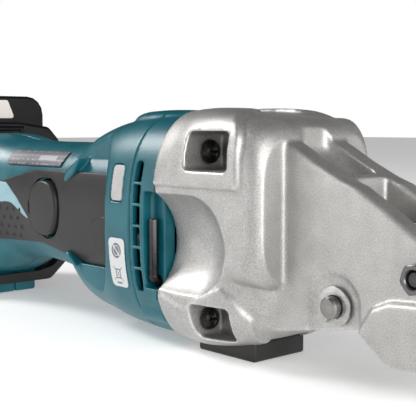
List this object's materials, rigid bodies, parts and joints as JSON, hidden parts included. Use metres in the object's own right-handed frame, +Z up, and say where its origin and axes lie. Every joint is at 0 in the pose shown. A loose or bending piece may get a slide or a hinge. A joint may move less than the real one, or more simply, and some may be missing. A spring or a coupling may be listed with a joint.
{
  "type": "double-cut nibbling shear",
  "caption": "Cordless barrel-grip shear for siding and roofing sheet, with a cast gear case and a centre blade that swings between two fixed side blades in a forked nose.",
  "frame": {"origin": "bottom centre of the whole tool's box, on the plane it rests on", "axes": "+X along the barrel towards the blades, +Y to the tool's left, +Z up"},
  "size_m": [0.398, 0.075, 0.1135],
  "materials": {
    "casting": "bead-blasted cast alloy",
    "teal_plastic": "satin moulded",
    "elastomer": "matt textured",
    "black_plastic": "satin moulded",
    "black_steel": "black oxide",
    "steel": "ground",
    "blade_steel": "hardened, dark",
    "copper": "turned copper",
    "pale_film": "printed film",
    "window": "satin",
    "gasket": "matt",
    "board": "lacquered"
  },
  "bodies": {
    "body": {"gear_case": "casting", "gear_case_screw_1": "black_steel", "gear_case_screw_2": "black_steel", "gear_case_screw_3": "black_steel", "gear_case_screw_4": "black_steel", "case_gasket": "gasket", "bearing_plate": "casting", "bottom_pad": "elastomer", "rotor_front_bearing": "steel", "rotor_rear_bearing": "steel", "motor_yoke": "steel", "field_magnet_1": "black_plastic", "field_magnet_2": "black_plastic", "carbon_brush_1": "black_plastic", "carbon_brush_2": "black_plastic", "crank_rear_bearing": "steel", "crank_front_bearing": "steel", "pivot_pin": "steel", "e_clip_right": "steel", "e_clip_left": "steel", "side_blade_right": "blade_steel", "side_blade_left": "blade_steel", "nose_bolt_1": "black_steel", "nose_bolt_2": "black_steel", "nose_nut_1": "black_steel", "nose_nut_2": "black_steel", "motor_ring": "teal_plastic", "housing_right": "teal_plastic", "housing_left": "teal_plastic", "side_window_right": "window", "side_window_left": "window", "grip_right": "elastomer", "grip_left": "elastomer", "info_label": "pale_film", "rating_plate": "black_plastic", "switch_unit": "black_plastic", "control_board": "board", "top_screw_1": "black_steel", "top_screw_2": "black_steel", "pack_rail": "black_plastic", "foot_bumper": "elastomer"},
    "rotor": {"rotor_shaft": "steel", "rotor_core": "blade_steel", "commutator": "copper", "cooling_fan": "black_plastic"},
    "crank": {"drive_gear": "steel", "crankshaft": "steel", "eccentric_roller": "steel"},
    "blade_arm": {"swing_arm": "blade_steel", "center_blade": "blade_steel", "blade_pin_1": "steel", "blade_pin_2": "steel"},
    "switch": {"switch_button": "elastomer"},
    "key": {"hex_key": "black_steel"},
    "battery": {"battery_case": "black_plastic", "battery_cover": "black_plastic", "cell_pack": "window", "battery_label": "pale_film"},
    "release": {"battery_release_button": "black_plastic"}
  },
  "joints": [
    {"name": "crank_spin", "type": "hinge", "parent": "body", "child": "crank", "pos_m": [0.061, 0, 0.0324], "axis": [1, 0, 0], "continuous": true},
    {"name": "rotor_spin", "type": "hinge", "parent": "body", "child": "rotor", "pos_m": [0.041, 0, 0.052], "axis": [1, 0, 0], "continuous": true},
    {"name": "blade_swing", "type": "hinge", "parent": "body", "child": "blade_arm", "pos_m": [0.127, 0, 0.03], "axis": [0, 1, 0], "range_deg": [0, 10]},
    {"name": "switch_press", "type": "slide", "parent": "body", "child": "switch", "axis": [0, 1, 0], "range_m": [0, 0.0035], "stiffness_N_per_m": 600},
    {"name": "key_pull", "type": "slide", "parent": "body", "child": "key", "axis": [0, -1, 0], "range_m": [0, 0.06]},
    {"name": "battery_slide", "type": "slide", "parent": "body", "child": "battery", "axis": [0, 0, 1], "range_m": [0, 0.09]},
    {"name": "release_press", "type": "slide", "parent": "battery", "child": "release", "axis": [-1, 0, 0], "range_m": [0, 0.003], "stiffness_N_per_m": 600}
  ],
  "couplings": [
    {"joint": "rotor_spin", "follows": "crank_spin", "ratio": -6}
  ]
}
